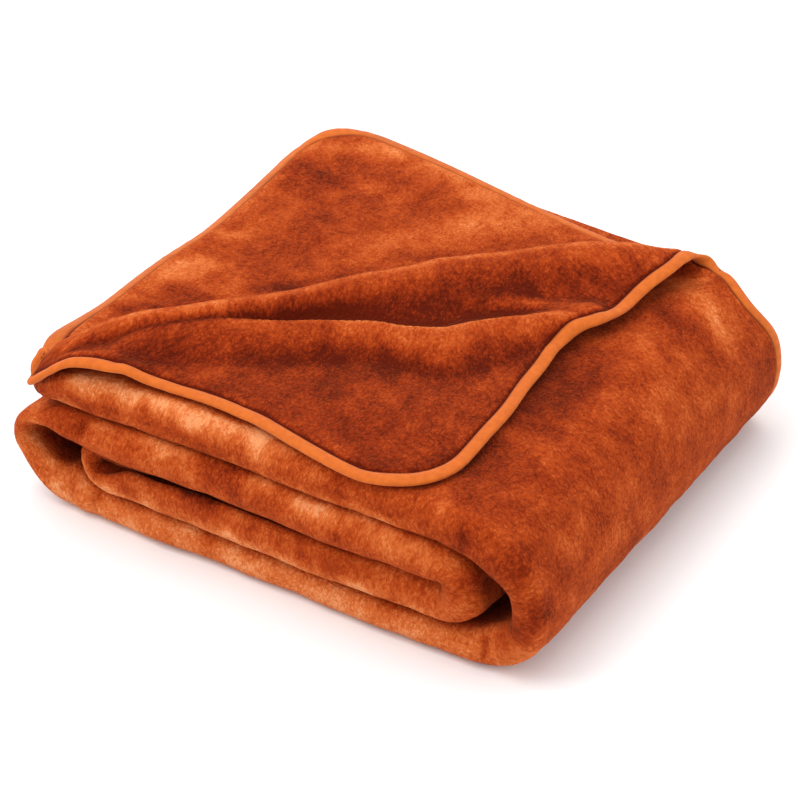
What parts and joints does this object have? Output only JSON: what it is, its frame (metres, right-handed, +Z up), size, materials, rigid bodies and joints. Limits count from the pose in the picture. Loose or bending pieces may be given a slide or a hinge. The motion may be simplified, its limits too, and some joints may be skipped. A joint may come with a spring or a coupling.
{
  "type": "folded throw blanket",
  "caption": "Plush flannel throw blanket, folded and rolled into a flat rectangular bundle with one bound corner turned back over the top.",
  "frame": {"origin": "on the surface the bundle lies on, under the middle of its outline in plan", "axes": "+X along the longer side towards the smooth rolled end, +Y away from the near face where the folded edges show, +Z up"},
  "size_m": [0.3585, 0.3462, 0.1232],
  "materials": {
    "flannel": "plush brushed pile",
    "binding": "smooth matt tape"
  },
  "bodies": {
    "root": {"blanket_cloth": "flannel", "edge_binding": "binding"}
  },
  "joints": []
}
